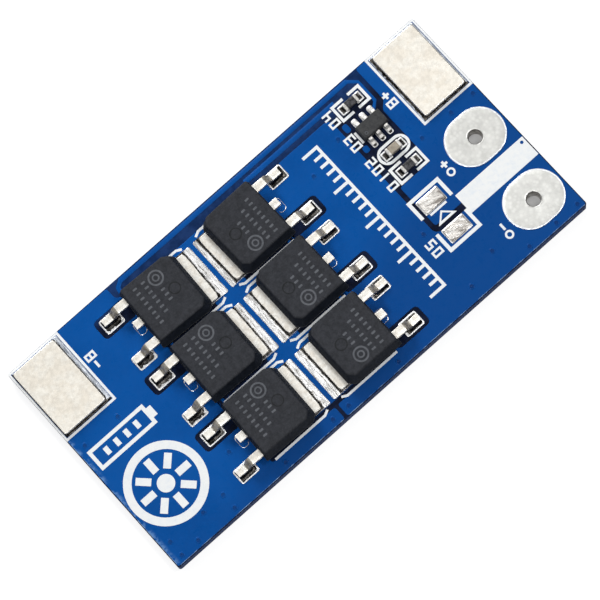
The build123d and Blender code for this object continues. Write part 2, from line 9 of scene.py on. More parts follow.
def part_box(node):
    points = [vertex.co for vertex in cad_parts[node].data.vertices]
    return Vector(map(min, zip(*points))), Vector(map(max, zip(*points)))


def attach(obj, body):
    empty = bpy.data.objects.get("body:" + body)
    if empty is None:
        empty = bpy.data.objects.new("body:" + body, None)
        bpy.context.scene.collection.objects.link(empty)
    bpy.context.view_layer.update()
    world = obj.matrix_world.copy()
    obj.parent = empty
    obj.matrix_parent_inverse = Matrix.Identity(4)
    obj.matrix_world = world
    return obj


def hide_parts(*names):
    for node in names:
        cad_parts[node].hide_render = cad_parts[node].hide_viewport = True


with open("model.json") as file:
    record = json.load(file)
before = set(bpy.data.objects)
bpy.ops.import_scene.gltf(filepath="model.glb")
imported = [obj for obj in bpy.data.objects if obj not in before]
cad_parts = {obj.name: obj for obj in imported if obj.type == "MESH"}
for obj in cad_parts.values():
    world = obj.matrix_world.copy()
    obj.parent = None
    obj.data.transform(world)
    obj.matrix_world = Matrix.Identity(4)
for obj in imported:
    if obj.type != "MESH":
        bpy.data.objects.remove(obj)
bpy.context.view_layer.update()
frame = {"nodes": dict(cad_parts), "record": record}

# The looks of a battery management board. Lengths here are in millimetres in the board's
# own frame, and become metres where a mesh is made.
MM = 0.001
UP = Vector((0, 0, 1))

# Vertices nearer than this are one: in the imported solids, and where a tube closes
packed_merge = 0.0005
tube_merge = 0.0001


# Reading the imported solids


def corners(node):
    """A node's lowest and highest corners in millimetres."""
    low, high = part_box(node)
    return low / MM, high / MM


def span(points):
    """The lowest and highest corners of a list of points."""
    low = Vector([min(point[axis] for point in points) for axis in range(3)])
    high = Vector([max(point[axis] for point in points) for axis in range(3)])
    return low, high


def extent(node, local):
    """A node's lowest and highest corners in millimetres, along a local frame's axes."""
    inverse = local.inverted()
    return span([inverse @ (vertex.co / MM) for vertex in frame["nodes"][node].data.vertices])


def island_boxes(node):
    """The lowest and highest corners, in millimetres, of each separate solid of a node."""
    work = bmesh.new()
    work.from_mesh(frame["nodes"][node].data)
    bmesh.ops.remove_doubles(work, verts=work.verts, dist=packed_merge * MM)
    left = set(work.verts)
    boxes = []
    while left:
        queue = [left.pop()]
        members = []
        while queue:
            vertex = queue.pop()
            members.append(vertex.co / MM)
            for edge in vertex.link_edges:
                other = edge.other_vert(vertex)
                if other in left:
                    left.remove(other)
                    queue.append(other)
        boxes.append(span(members))
    work.free()
    return sorted(boxes, key=lambda box: (round(box[0].x, 3), round(box[0].y, 3)))


board_end, board_edge, board_top = corners("circuit_board")[1]


# Materials. Colours are screen values from 0 to 255


def linear(colour):
    """A colour as linear light, with an alpha of 1."""
    values = []
    for value in colour:
        share = value / 255
        values.append(share / 12.92 if share <= 0.04045 else ((share + 0.055) / 1.055) ** 2.4)
    return (*values, 1)


class Nodes:
    """The node tree of a material or a world, with short ways to add and join nodes."""

    def __init__(self, owner, output):
        owner.use_nodes = True
        self.tree = owner.node_tree
        self.tree.nodes.clear()
        self.output = self.add(output)

    def add(self, kind, sockets=None, **settings):
        """A shader node; sockets gives its inputs a value, or the output that they take."""
        node = self.tree.nodes.new(f"ShaderNode{kind}")
        for key, value in settings.items():
            setattr(node, key, value)
        for socket, value in (sockets or {}).items():
            if isinstance(value, bpy.types.NodeSocket):
                self.tree.links.new(value, node.inputs[socket])
            else:
                node.inputs[socket].default_value = value
        return node

    def show(self, shader):
        self.tree.links.new(shader.outputs[0], self.output.inputs["Surface"])

    def ramp(self, source, low, high, from_low=0.3, from_high=0.7):
        """A value eased from low to high as its source passes between two levels."""
        sockets = {
            "Value": source, "From Min": from_low, "From Max": from_high, "To Min": low, "To Max": high,
        }
        return self.add("MapRange", sockets, interpolation_type="SMOOTHSTEP").outputs["Result"]

    def along(self, place, direction, low, high, from_low, from_high):
        """A value eased from low to high as a place moves along a direction."""
        node = self.add("VectorMath", {0: place, 1: direction}, operation="DOT_PRODUCT")
        return self.ramp(node.outputs["Value"], low, high, from_low, from_high)

    def rays(self, *kinds):
        """1 for the given kinds of ray and 0 for all others."""
        path = self.add("LightPath")
        total = path.outputs[kinds[0]]
        for kind in kinds[1:]:
            sockets = {0: total, 1: path.outputs[kind]}
            total = self.add("Math", sockets, operation="MAXIMUM").outputs[0]
        return total


class Surface(Nodes):
    """A material round one principled shader, with textures that follow the place in millimetres."""

    def __init__(self, name, colour, **settings):
        self.material = bpy.data.materials.new(name)
        super().__init__(self.material, "OutputMaterial")
        sockets = {key.replace("_", " "): value for key, value in settings.items()}
        sockets["Base Color"] = linear(colour)
        self.shader = self.add("BsdfPrincipled", sockets)
        self.show(self.shader)
        place = self.add("TexCoord").outputs["Object"]
        scaled = self.add("VectorMath", {0: place, "Scale": 1 / MM}, operation="SCALE")
        self.place = scaled.outputs[0]

    def stretched(self, scale, turn):
        """The place turned about Z and then scaled along each axis."""
        sockets = {"Vector": self.place, "Angle": turn}
        turned = self.add("VectorRotate", sockets, rotation_type="Z_AXIS")
        sockets = {0: turned.outputs["Vector"], 1: scale}
        return self.add("VectorMath", sockets, operation="MULTIPLY").outputs[0]

    def speckle(self, scale, detail=3.0, roughness=0.5, stretch=None, turn=0.0):
        """Noise with so many features in a millimetre."""
        place = self.stretched(stretch, turn) if stretch else self.place
        sockets = {"Vector": place, "Scale": scale, "Detail": detail, "Roughness": roughness}
        return self.add("TexNoise", sockets).outputs["Fac"]

    def patches(self, scale, detail=3.0, roughness=0.5, levels=(0.3, 0.7), share=1, **stretching):
        """Soft patches of speckle, eased from 0 to a share between two of its levels."""
        return self.ramp(self.speckle(scale, detail, roughness, **stretching), 0, share, *levels)

    def grains(self, scale):
        """Cells with so many features in a millimetre."""
        return self.add("TexVoronoi", {"Vector": self.place, "Scale": scale}).outputs["Distance"]

    def tint(self, factor, first, second):
        """A colour between two, each of them a colour or a socket that gives one."""
        first, second = [linear(value) if isinstance(value, tuple) else value for value in (first, second)]
        sockets = {"Factor": factor, 6: first, 7: second}
        return self.add("Mix", sockets, data_type="RGBA").outputs[2]

    def colour(self, source):
        self.tree.links.new(source, self.shader.inputs["Base Color"])

    def rough(self, low, high, *speckle, **stretching):
        """Roughness that follows speckle from low to high."""
        source = self.ramp(self.speckle(*speckle, **stretching), low, high)
        self.tree.links.new(source, self.shader.inputs["Roughness"])

    def bump(self, height, *speckle, **stretching):
        """Relief of a height in millimetres that follows speckle; it gives the finished material."""
        sockets = {"Distance": height * MM, "Height": self.speckle(*speckle, **stretching), "Strength": 1}
        node = self.add("Bump", sockets)
        self.tree.links.new(node.outputs["Normal"], self.shader.inputs["Normal"])
        return self.material


painted_glint_blue = (120, 164, 216)


def mask_surface(name, dark, light, shade):
    """Solder mask: a clear blue coat with faint clouds, orange peel and dust specks.

    It has painted shade, darker towards the right foot, and painted glints, pale patches along the left
    end."""
    made = Surface(name, light, Roughness=0.32, Specular_IOR_Level=0.06)
    base = made.tint(made.patches(0.12, 4), dark, light)
    base = made.tint(made.patches(4.0, 4, 0.7, (0.44, 0.72), 0.5), base, light)
    # Painted shade: the blue deepens towards the foot and the right end
    base = made.tint(made.along(made.place, (-0.3, 0.8, 0), 1, 0, -6.5, -1.5), base, shade)
    # Painted glints: pale patches near the left end
    glints = made.tint(made.patches(1.2, 4, 0.7, (0.44, 0.6)), base, painted_glint_blue)
    near_end = made.along(made.place, (-1, 0, 0), 0, 0.7, board_end - 0.6, board_end - 0.1)
    made.colour(made.tint(near_end, base, glints))
    made.rough(0.26, 0.42, 1.6, 3)
    return made.bump(0.012, 2.6, 4, 0.6)


def mask_edge_glint_surface():
    """Painted highlight on the mask's sloping outer edge over the copper: blue with paler glints."""
    made = Surface("mask_edge_glint", (60, 110, 180), Roughness=0.3, Specular_IOR_Level=0.2)
    made.colour(made.tint(made.patches(0.9, 4, 0.65, (0.42, 0.62)), (24, 84, 160), (150, 184, 226)))
    return made.bump(0.012, 3.0, 4, 0.6)


def bare_mask_surface():
    """Mask over bare laminate: near black, and bluer in the band by the plates' edge."""
    made = Surface("mask_bare", (14, 26, 56), Roughness=0.32, Specular_IOR_Level=0.06)
    clouds = made.patches(0.9, 5, 0.65, (0.36, 0.64))
    dark = made.tint(clouds, (11, 18, 38), (23, 33, 60))
    band = made.tint(clouds, (17, 43, 86), (30, 58, 108))
    made.colour(made.tint(made.along(made.place, (0, 1, 0), 0, 1, 9.2, 10.6), dark, band))
    return made.bump(0.02, 2.6, 5, 0.65)


def metal_surface(name, light, dark, scale, rough, relief, levels=(0.35, 0.65), stretch=None, metallic=1.0):
    """Plated metal with mottling, changes of gloss and a fine relief."""
    made = Surface(name, light, Metallic=metallic, Roughness=rough)
    made.colour(made.tint(made.patches(scale, 5, 0.6, levels, stretch=stretch), dark, light))
    made.rough(rough - 0.08, rough + 0.12, scale * 2.3, 3, 0.5, stretch)
    return made.bump(relief, scale * 1.7, 5, 0.62, stretch)


def nickel_surface():
    """Rolled nickel: cream clouds a millimetre or two wide, under a finer grain."""
    made = Surface("nickel", (252, 246, 234), Metallic=0.8, Roughness=0.4)
    base = made.tint(made.patches(0.8, 5, 0.66, (0.4, 0.6)), (247, 240, 227), (255, 251, 241))
    made.colour(made.tint(made.patches(5.0, 4, 0.7, (0.4, 0.66), 0.5), base, (238, 231, 218)))
    made.rough(0.36, 0.44, 2.4, 4)
    return made.bump(0.004, 3.6, 5, 0.6)


def pad_surface():
    """Tin on a pad: a pale grey field with small brighter spangles."""
    made = Surface("pad_tin", (232, 232, 228), Metallic=1.0, Roughness=0.42)
    base = made.tint(made.patches(1.1, 4, 0.6, (0.36, 0.64)), (206, 206, 202), (218, 218, 214))
    made.colour(made.tint(made.ramp(made.grains(2.2), 0.55, 0, 0.05, 0.6), base, (236, 236, 232)))
    made.rough(0.38, 0.5, 3.0, 3)
    return made.bump(0.005, 4.0, 4, 0.6)


def dragged_solder_surface():
    """Solder dragged while it set: slanting streaks from white to a warm grey; the fine white patches are
    partly painted highlights.
    """
    made = Surface("drag_solder", (214, 208, 199), Metallic=0.9, Roughness=0.34)
    slant = {"stretch": (0.35, 1.5, 1.0), "turn": 0.43}
    base = made.tint(made.patches(1.0, 5, 0.6, (0.36, 0.6), **slant), (132, 125, 118), (224, 220, 214))
    # Fine white patches: partly painted highlights
    made.colour(made.tint(made.patches(2.8, 4, 0.6, (0.5, 0.66), 0.8, **slant), base, (255, 254, 250)))
    made.rough(0.26, 0.44, 3.0, 3, **slant)
    return made.bump(0.05, 2.6, 5, 0.62, **slant)


def mould_surface(name, dark, light, sparkle):
    """Moulding compound: a fine matte grain with a few paler filler grains."""
    made = Surface(name, dark, Roughness=0.62, Specular_IOR_Level=0.2)
    base = made.tint(made.patches(2.4, 6, 0.72, (0.36, 0.64)), dark, light)
    made.colour(made.tint(made.ramp(made.grains(9.0), 1, 0, 0.06, 0.2), base, sparkle))
    made.rough(0.52, 0.74, 5.0, 4)
    return made.bump(0.012, 11.0, 4, 0.6)


def ink_surface():
    """Screen-printed white ink, a little uneven and a touch blue."""
    made = Surface("white_ink", (240, 246, 252), Roughness=0.55, Specular_IOR_Level=0.3)
    made.colour(made.tint(made.patches(2.2, 4, 0.6, (0.2, 0.62)), (240, 246, 252), (253, 255, 255)))
    return made.bump(0.01, 7.0, 4)


def laminate_surface():
    """The board's cut edge: pressed glass layers in epoxy, in a dark blue."""
    made = Surface("laminate_edge", (30, 56, 112), Roughness=0.7, Specular_IOR_Level=0.1)
    layers = made.patches(1.0, 4, 0.6, stretch=(0.5, 0.5, 6.0))
    fibres = made.patches(3.0, 4, 0.7, share=0.6, stretch=(1.0, 1.0, 2.0))
    made.colour(made.tint(fibres, made.tint(layers, (14, 36, 90), (36, 66, 128)), (54, 80, 124)))
    return made.bump(0.04, 3.0, 5, 0.7, (1.0, 1.0, 3.0))


def ceramic_surface(name, dark, light, rough):
    """Fired ceramic or glaze with a faint mottle."""
    made = Surface(name, dark, Roughness=rough, Specular_IOR_Level=0.4)
    made.colour(made.tint(made.patches(3.5, 4), dark, light))
    made.rough(rough - 0.08, rough + 0.1, 8.0, 3)
    return made.bump(0.01, 9.0, 4)


mask_copper = mask_surface("mask_copper", (4, 77, 153), (10, 87, 168), (10, 74, 147))
mask_pit = mask_surface("mask_pit", (8, 62, 128), (14, 72, 140), (12, 58, 120))
mask_edge_glint = mask_edge_glint_surface()
mask_bare = bare_mask_surface()
laminate_edge = laminate_surface()
white_ink = ink_surface()

along_seam = (1.6, 0.3, 1.0)
nickel = nickel_surface()
pad_tin = pad_surface()
drag_solder = dragged_solder_surface()
tin = metal_surface("tin", (255, 253, 246), (240, 234, 223), 1.8, 0.38, 0.015, metallic=0.5)
shaded_tin_slope = metal_surface("shaded_tin_slope", (190, 184, 172), (136, 130, 119), 2.2, 0.4, 0.02, metallic=0.5)
end_cap_tin = metal_surface("end_cap_tin", (255, 253, 248), (226, 224, 219), 2.6, 0.4, 0.015, metallic=0.6)
rim_tin_highlight = metal_surface("rim_tin_highlight", (252, 254, 255), (232, 236, 242), 2.4, 0.4, 0.01)
barrel_tin = metal_surface("barrel_tin", (206, 204, 200), (140, 137, 132), 2.0, 0.42, 0.02)
strip_tin = metal_surface(
    "strip_tin", (236, 242, 250), (160, 168, 180), 2.2, 0.34, 0.02, stretch=along_seam
)
bright_solder = metal_surface("bright_solder", (253, 254, 255), (232, 232, 231), 1.6, 0.36, 0.01)
# Painted shade: a grey and a dark copy of the solder
half_shaded_solder = metal_surface("half_shaded_solder", (204, 201, 195), (140, 136, 130), 2.2, 0.34, 0.03)
shaded_solder = metal_surface("shaded_solder", (104, 101, 97), (24, 24, 25), 2.2, 0.3, 0.03)
seam_solder = metal_surface(
    "seam_solder", (255, 255, 255), (192, 191, 188), 2.2, 0.36, 0.03, (0.3, 0.56), along_seam
)

mould = mould_surface("mould", (42, 44, 49), (54, 56, 62), (78, 80, 86))
shaded_mould_flank = mould_surface("shaded_mould_flank", (21, 26, 34), (31, 36, 46), (48, 52, 60))
mould_mark = mould_surface("mould_mark", (86, 89, 95), (102, 105, 111), (122, 124, 130))
mould_dimple = mould_surface("mould_dimple", (28, 30, 33), (38, 40, 43), (56, 58, 62))
small_mould = mould_surface("small_mould", (57, 58, 60), (72, 73, 74), (94, 95, 96))
glaze = ceramic_surface("resistor_glaze", (34, 35, 38), (88, 88, 92), 0.3)
capacitor_ceramic = ceramic_surface("capacitor_ceramic", (158, 149, 134), (180, 170, 153), 0.5)
silicon = ceramic_surface("silicon", (70, 72, 82), (88, 90, 100), 0.2)


# Shapes


def linked(name, data):
    """A new object in the scene."""
    made = bpy.data.objects.new(name, data)
    bpy.context.scene.collection.objects.link(made)
    return made


def finished(work, name, materials, replaced=(), sharp_angle=40):
    """A mesh piece made from points in millimetres, riding on the board."""
    bmesh.ops.recalc_face_normals(work, faces=work.faces)
    limit = math.radians(sharp_angle)
    for edge in work.edges:
        edge.smooth = len(edge.link_faces) == 2 and edge.calc_face_angle(0) < limit
    for face in work.faces:
        face.smooth = True
    bmesh.ops.scale(work, vec=(MM, MM, MM), verts=work.verts)
    mesh = bpy.data.meshes.new(name)
    work.to_mesh(mesh)
    work.free()
    for material in materials:
        mesh.materials.append(material)
    piece = linked(name, mesh)
    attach(piece, "root")
    if replaced:
        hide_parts(*replaced)


def eased_corner(start, corner, end, steps):
    """Points on a curve from start to end that cuts a corner."""
    shares = [step / steps for step in range(steps + 1)]
    return [start * (1 - t) ** 2 + corner * 2 * t * (1 - t) + end * t * t for t in shares]


def rounded_polygon(points, radius, steps=3):
    """A closed outline with each corner eased by a curve that starts a radius away."""
    just_under_half = 1 / 2.01
    points = [Vector(point) for point in points]
    eased = []
    for index, corner in enumerate(points):
        ends = []
        for other in (points[index - 1], points[(index + 1) % len(points)]):
            away = other - corner
            ends.append(corner + away.normalized() * min(radius, away.length * just_under_half))
        eased += eased_corner(ends[0], corner, ends[1], steps)
    return eased


def bent_path(points, radius, steps=4):
    """An open path through points with its inner corners eased."""
    points = [Vector(point) for point in points]
    path = [points[0]]
    for before, corner, after in zip(points, points[1:], points[2:]):
        start = corner + (before - corner).normalized() * radius
        end = corner + (after - corner).normalized() * radius
        path += eased_corner(start, corner, end, steps)
    return path + [points[-1]]


def rectangle(low_x, high_x, low_y, high_y):
    return [(low_x, low_y), (high_x, low_y), (high_x, high_y), (low_x, high_y)]


def rounded_box(low_x, high_x, low_y, high_y, radius, steps=3):
    return rounded_polygon(rectangle(low_x, high_x, low_y, high_y), radius, steps)


def circle(x, y, radius, turns=32):
    angles = [turn / turns * math.tau for turn in range(turns)]
    return [Vector((x + math.cos(angle) * radius, y + math.sin(angle) * radius)) for angle in angles]


def inset(points, distance):
    """An anticlockwise outline moved inwards by a distance."""
    sharpest = 0.4
    moved = []
    for index, point in enumerate(points):
        before = (point - points[index - 1]).normalized()
        after = (points[(index + 1) % len(points)] - point).normalized()
        normal_before = Vector((-before.y, before.x))
        normal_after = Vector((-after.y, after.x))
        middle = normal_before + normal_after
        if middle.length < 1e-6:
            middle = normal_before
        middle = middle.normalized()
        moved.append(point + middle * (distance / max(middle.dot(normal_before), sharpest)))
    return moved


def raised(outline, height):
    return [Vector((point.x, point.y, height)) for point in outline]


def join(work, lower, upper):
    """Faces between two closed rings of vertices."""
    for index in range(len(lower)):
        after = (index + 1) % len(lower)
        work.faces.new((lower[index], lower[after], upper[after], upper[index]))


def add_walls(work, loops, local=None):
    """Walls through loops of as many points each; returns the rings of vertices."""
    rings = []
    for loop in loops:
        rings.append([work.verts.new(local @ point if local else point) for point in loop])
    for lower, upper in zip(rings, rings[1:]):
        join(work, lower, upper)
    return rings


def add_loft(work, loops, local=None):
    """Walls through loops, with a cap at each end."""
    rings = add_walls(work, loops, local)
    work.faces.new(list(reversed(rings[0])))
    work.faces.new(rings[-1])


def add_tube(work, loops, local=None):
    """Walls through loops and back to the first of them."""
    add_walls(work, loops + loops[:1], local)
    bmesh.ops.remove_doubles(work, verts=work.verts, dist=tube_merge)


def fill_between(work, rings):
    """A flat face inside the first ring and outside the others."""
    edges = []
    for ring in rings:
        edges += [work.edges.get((ring[index - 1], ring[index])) for index in range(len(ring))]
    filled = bmesh.ops.triangle_fill(work, use_beauty=True, use_dissolve=False, edges=edges)
    faces = [item for item in filled["geom"] if isinstance(item, bmesh.types.BMFace)]
    openings = [set(ring) for ring in rings[1:]]
    inside = [face for face in faces if any(opening.issuperset(face.verts) for opening in openings)]
    bmesh.ops.delete(work, geom=inside, context="FACES_ONLY")


def add_slab(work, outline, low, high, edge, local=None):
    """A flat slab with its upper and lower edges eased."""
    eased = edge * 0.3
    sections = [(edge * 1.5, 0), (edge, 0), (eased, eased), (0, edge)]
    loops = [raised(inset(outline, inwards), low + rise) for inwards, rise in sections]
    loops += [raised(inset(outline, inwards), high - drop) for inwards, drop in reversed(sections)]
    add_loft(work, loops, local)


def add_strip(work, path, widths, offset, thickness, local=None, edge=0.05):
    """A flat metal strip bent along a path of (x, z) points, with eased edges and ends."""
    end_share = 0.82
    loops = []
    for index, (x, z) in enumerate(path):
        x0, z0 = path[max(index - 1, 0)]
        x1, z1 = path[min(index + 1, len(path) - 1)]
        along = Vector((x1 - x0, 0, z1 - z0)).normalized()
        normal = Vector((-along.z, 0, along.x))
        half = widths[index] / 2
        section = rounded_box(-half, half, -thickness / 2, thickness / 2, edge, 2)
        middle = Vector((x, offset, z))
        loops.append([middle + Vector((0, 1, 0)) * point.x + normal * point.y for point in section])
    ends = []
    for loop in (loops[0], loops[-1]):
        centre = sum(loop, Vector()) / len(loop)
        ends.append([centre + (point - centre) * end_share for point in loop])
    add_loft(work, [ends[0]] + loops + [ends[1]], local)


def wobble(x, y, size, seed):
    """Smooth noise from -1 to 1 with features of a size in millimetres."""
    return noise.noise(Vector((x / size, y / size, seed * 7.3)))


def eased_step(value, low, high):
    """0 below low, 1 above high and a smooth rise between."""
    t = min(max((value - low) / (high - low), 0), 1)
    return t * t * (3 - 2 * t)


# Solder. Its finishes are the numbers of a piece's materials. Mostly dark is painted shade and grey a
# lighter painted shade; on the diode lands dark is the dragged solder
bright, dark, grey, seam, coated = range(5)

land_lip = 0.05
land_lift = 0.002
land_root = 0.01
rim_width = 0.2
rim_height = 0.035
rim_blend = (-0.03, 0.05)


def add_solder(work, low, high, surface_at, corner=0.12, rim=rim_width, cell=0.055):
    """Solder on a land: a closed skin with a bright flat rim.

    surface_at gives, for a place, the solder's height and the number of its finish."""
    middle = (low + high) / 2
    half_x = (high.x - low.x) / 2
    half_y = (high.y - low.y) / 2
    columns = max(4, round(2 * half_x / cell))
    rows = max(4, round(2 * half_y / cell))
    grid = []
    finishes = []
    for row in range(rows + 1):
        line = []
        for column in range(columns + 1):
            x = (column / columns * 2 - 1) * half_x
            y = (row / rows * 2 - 1) * half_y
            over_x = max(abs(x) - (half_x - corner), 0)
            over_y = max(abs(y) - (half_y - corner), 0)
            reach = math.hypot(over_x, over_y)
            if reach > corner:
                x = math.copysign(half_x - corner + over_x * corner / reach, x)
                y = math.copysign(half_y - corner + over_y * corner / reach, y)
            if over_x > 0 and over_y > 0:
                border = corner - min(reach, corner)
            else:
                border = min(half_x - abs(x), half_y - abs(y))
            height, finish = surface_at(middle.x + x, middle.y + y)
            blend = eased_step(border, rim + rim_blend[0], rim + rim_blend[1])
            height = rim_height + (height - rim_height) * blend
            height *= math.sqrt(max(1 - (1 - min(border / land_lip, 1)) ** 2, 0))
            place = (middle.x + x, middle.y + y, board_top + land_lift + height)
            line.append(work.verts.new(place))
            finishes.append(finish if border > rim - 0.01 else bright)
        grid.append(line)
    for row in range(rows):
        for column in range(columns):
            near, far = grid[row], grid[row + 1]
            face = work.faces.new((near[column], near[column + 1], far[column + 1], far[column]))
            first = row * (columns + 1) + column
            face.material_index = max(finishes[first], finishes[first + columns + 2])
    border = grid[0][:-1] + [line[-1] for line in grid[:-1]]
    border += list(reversed(grid[-1][1:])) + [line[0] for line in reversed(grid[1:])]
    base = [work.verts.new((vertex.co.x, vertex.co.y, board_top - land_root)) for vertex in border]
    join(work, base, border)
    work.faces.new(list(reversed(base)))


def solder_piece(node, suffix, lands, materials=(bright_solder, shaded_solder), sharp_angle=75, **shape):
    """Solder that stands for a node; each land is what add_solder takes after the mesh."""
    work = bmesh.new()
    for land in lands:
        add_solder(work, *land, **shape)
    finished(work, f"{node}_{suffix}", materials, (node,), sharp_angle)


def box_gap(x, y, low, high):
    """How far a place lies outside a box, seen from above."""
    return math.hypot(max(low.x - x, 0, x - high.x), max(low.y - y, 0, y - high.y))


def foot_surface(inverse, low, high, climb, seed, hollow=0.5, inside=dark):
    """The solder round a foot: painted shade, dark between the foot and the land's rim."""

    def surface_at(x, y):
        place = inverse @ Vector((x, y, 0))
        gap = box_gap(place.x, place.y, low, high)
        lift = 1 + 0.25 * wobble(x, y, 0.5, seed + 5)
        height = 0.015 + climb * lift * math.exp(-gap / 0.07) + 0.01 * wobble(x, y, 0.25, seed + 6)
        # Near the foot the solder takes the inside finish, painted shade unless a caller gives another
        return height, inside if gap < hollow * (1 + 0.4 * wobble(x, y, 0.3, seed + 7)) else bright

    return surface_at


# Board: the laminate under its mask, and the copper that lifts the mask in fields

copper_rise = 0.04
copper_slope = 0.05
copper_root = board_top - 2 * copper_rise
copper_shoulder = board_top - copper_rise * 0.8
edge_margin = 0.08
pour_top = board_edge - edge_margin
pour_foot = edge_margin - board_edge
pour_right = board_end - edge_margin
pour_left = edge_margin - board_end


def board_slab():
    """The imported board, lowered to the mask between the copper fields."""
    slab = bmesh.new()
    slab.from_mesh(frame["nodes"]["circuit_board"].data)
    bmesh.ops.scale(slab, vec=(1 / MM, 1 / MM, 1 / MM), verts=slab.verts)
    bmesh.ops.remove_doubles(slab, verts=slab.verts, dist=packed_merge)
    for vertex in slab.verts:
        vertex.co.z = min(vertex.co.z, board_top - copper_rise)
    bmesh.ops.recalc_face_normals(slab, faces=slab.faces)
    bmesh.ops.dissolve_limit(slab, angle_limit=math.radians(0.5), verts=slab.verts, edges=slab.edges)
    for face in slab.faces:
        on_side = abs(face.normal.z) < 0.5
        face.material_index = 1 if on_side else (0 if face.normal.z > 0 else 2)
    materials = (mask_bare, laminate_edge, mask_copper)
    finished(slab, "board_slab", materials, ("circuit_board",))


board_slab()

left_pour = [
    (pour_left, pour_foot), (-4.72, pour_foot), (-4.72, -10.5), (-12.3, -10.5),
    (-12.3, 10.3), (-12.95, 10.75), (-12.95, pour_top), (pour_left, pour_top),
]
drain_pour = rectangle(-12.0, 2.6, -10.05, 10.35)
middle_pour = [
    (-4.36, pour_foot), (pour_right, pour_foot), (pour_right, -4.85), (13.3, -4.85),
    (12.85, -4.4), (12.85, 9.7), (12.4, 10.05), (6.6, 10.05), (6.2, 9.7), (2.9, 9.7), (2.9, -10.5),
    (-4.36, -10.5),
]
right_pour = [
    (17.85, pour_top), (17.85, 8.0), (17.1, 7.3), (17.1, 0.72), (13.35, 0.72), (13.35, -4.15),
    (pour_right, -4.15), (pour_right, pour_top),
]
small_fields = [rectangle(13.15, 13.75, 7.8, 8.7), rectangle(13.2, 13.8, 5.2, 5.9)]
supply_trace = [
    (-12.2, 10.75), (-12.1, 11.25), (-11.5, 11.64), (16.4, 11.64), (17.2, 10.9), (17.2, 8.5), (16.5, 7.9),
]
supply_widths = (0.42, 0.46, 0.48, 0.48, 0.36, 0.34, 0.34)
sense_trace = [(3.1, 10.83), (14.2, 10.83)]
sense_widths = (0.5, 0.5)

# The bare places: round the gate lands, beside the bodies as a painted shadow, and round the pads' barrels
moat_end = 0.44
moat_side = 0.24
channel_margin = 0.3
channel_depth = 0.55
barrel_clearing = 1.1


def add_trace(work, points, widths):
    """A trace of changing width along its middle line, with sloping sides."""
    loops = []
    for index, point in enumerate(points):
        before = Vector(points[max(index - 1, 0)])
        after = Vector(points[min(index + 1, len(points) - 1)])
        along = (after - before).normalized()
        half = Vector((-along.y, along.x)) * widths[index] / 2
        slope_share = 1 - copper_slope / half.length
        section = [(half, copper_root), (half, copper_shoulder), (half * slope_share, board_top)]
        loop = [Vector((*(Vector(point) + away), height)) for away, height in section]
        loop += [Vector((*(Vector(point) - away), height)) for away, height in reversed(section)]
        loops.append(loop)
    add_loft(work, loops)


def anticlockwise(points):
    area = sum(Vector(points[index - 1]).cross(Vector(points[index])) for index in range(len(points)))
    return list(points) if area > 0 else list(reversed(points))


def add_copper(work, outline, openings=()):
    """A field of copper under the mask, with sloping edges and openings."""
    tops = []
    bases = []
    steps = ((0, 2), (0, 0.8), (0.6, 0.2), (1, 0), (1.6, 0))
    outer = rounded_polygon(anticlockwise(outline), 0.25, 3)
    for points, slope in [(outer, copper_slope)] + [(opening, -copper_slope) for opening in openings]:
        loops = []
        for share, drop in steps:
            loops.append(raised(inset(points, slope * share), board_top - copper_rise * drop))
        rings = add_walls(work, loops)
        bases.append(rings[0])
        tops.append(rings[-1])
    fill_between(work, bases)
    fill_between(work, tops)


def gate_moat(number):
    """The bare ring round a gate lead's land, widened towards the transistor's body."""
    lead_low, lead_high = corners(f"transistor_{number}_gate_lead")
    lead_middle = (lead_low + lead_high) / 2
    lands = island_boxes(f"transistor_{number}_solder")
    low, high = min(lands, key=lambda land: ((land[0] + land[1]) / 2 - lead_middle).to_2d().length)
    body_low, body_high = corners(f"transistor_{number}_body")
    low_x = low.x - moat_end
    high_x = high.x + moat_end
    if body_low.x > low.x:
        high_x = body_low.x + moat_end
    else:
        low_x = body_high.x - moat_end
    return rounded_box(low_x, high_x, low.y - moat_side, high.y + moat_side, 0.5, 5)


def flank_shadow_channel(number):
    """A dark bare strip between a transistor's body and the printed line beside it: painted shadow where
    the body's shade falls.
    """
    body_low, body_high = corners(f"transistor_{number}_body")
    low_x = max(body_low.x, drain_pour[0][0] + channel_margin)
    high_x = min(body_high.x, drain_pour[1][0] - channel_margin)
    return rounded_box(low_x, high_x, body_low.y, body_low.y + channel_depth, 0.1, 2)


def barrel_opening(name):
    pad_low, pad_high = corners(f"pack_{name}_pad")
    middle = (pad_low + pad_high) / 2
    return circle(middle.x, middle.y, barrel_clearing)


def copper_fields():
    """The mask's relief over the copper's pours and traces, with a painted highlight on its sloping outer
    edges.
    """
    fields = bmesh.new()
    add_copper(fields, left_pour, [gate_moat(number) for number in (2, 4, 6)])
    # Bare strips beside bodies 1 to 4: painted shadow
    add_copper(fields, drain_pour, [flank_shadow_channel(number) for number in (1, 2, 3, 4)])
    openings = [gate_moat(number) for number in (1, 3, 5)] + [barrel_opening("negative")]
    add_copper(fields, middle_pour, openings)
    add_copper(fields, right_pour, [barrel_opening("positive")])
    for outline in small_fields:
        add_copper(fields, outline)
    add_trace(fields, supply_trace, supply_widths)
    add_trace(fields, sense_trace, sense_widths)
    fields.normal_update()
    # Slopes at the left end and the foot take the painted highlight
    for face in fields.faces:
        centre = face.calc_center_median()
        at_edge = centre.x < pour_left + copper_slope or centre.y < pour_foot + copper_slope
        if at_edge and abs(face.normal.z) < 0.97:
            face.material_index = 1
    finished(fields, "copper_fields", (mask_copper, mask_edge_glint))


copper_fields()

